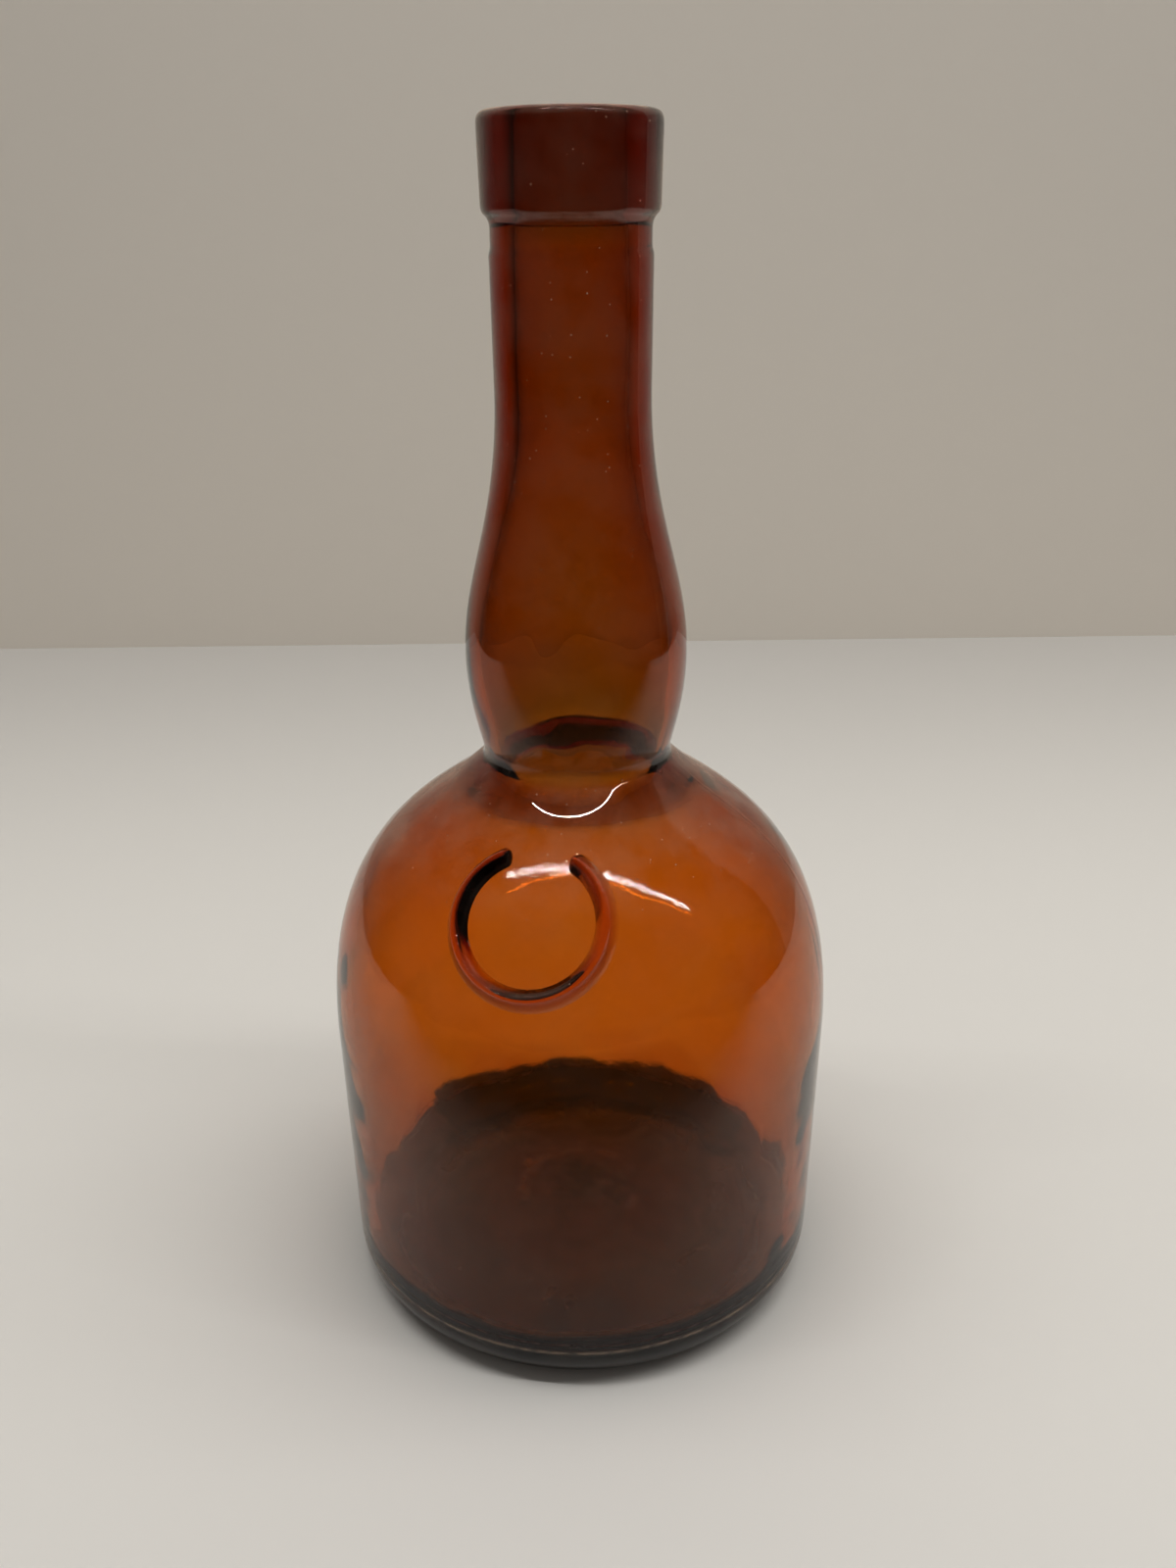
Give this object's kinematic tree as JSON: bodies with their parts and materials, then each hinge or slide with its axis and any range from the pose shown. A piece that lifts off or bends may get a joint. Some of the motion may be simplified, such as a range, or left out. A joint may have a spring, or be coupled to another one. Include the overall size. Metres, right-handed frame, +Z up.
{
  "type": "liquor bottle",
  "caption": "Open amber glass bottle: banded mouth, long bulged neck, domed shoulder with an open seal ring, straight round body and pushed-up base.",
  "frame": {"origin": "centre of the foot ring, on the surface that the bottle stands on", "axes": "+Z up along the bottle's axis towards the mouth, -Y out through the seal ring at the front, +X to the right seen from the front; the mould lines run up the +X and -X sides"},
  "size_m": [0.1024, 0.1022, 0.23],
  "materials": {
    "amber_glass": "polished transparent amber glass, lightly dusty on the shoulder"
  },
  "bodies": {
    "root": {"bottle_glass": "amber_glass"}
  },
  "joints": []
}
